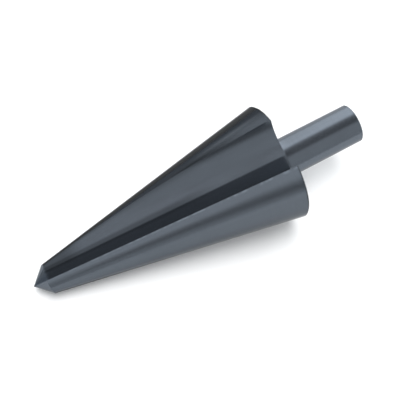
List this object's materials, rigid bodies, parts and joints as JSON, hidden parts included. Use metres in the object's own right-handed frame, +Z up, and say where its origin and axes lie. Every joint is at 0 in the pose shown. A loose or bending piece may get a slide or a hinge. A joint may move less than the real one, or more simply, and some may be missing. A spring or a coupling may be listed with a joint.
{
  "type": "cone drill",
  "caption": "Smooth cone drill for opening up holes in sheet metal: a tapered cutting cone with straight flutes and a ground point on a plain round shank, black oxide finish.",
  "frame": {"origin": "on the surface that the drill lies on, under the middle of its bounding box", "axes": "+X is level and runs from the point towards the shank, +Z is up; the drill lies on its lower flute, so its own axis climbs 9.2 degrees from the point to the shank"},
  "size_m": [0.0886, 0.0304, 0.0271],
  "materials": {
    "blackened_steel": "ground tool steel with a blue-black steam oxide, semi-gloss"
  },
  "bodies": {
    "root": {"cone_drill": "blackened_steel"}
  },
  "joints": []
}
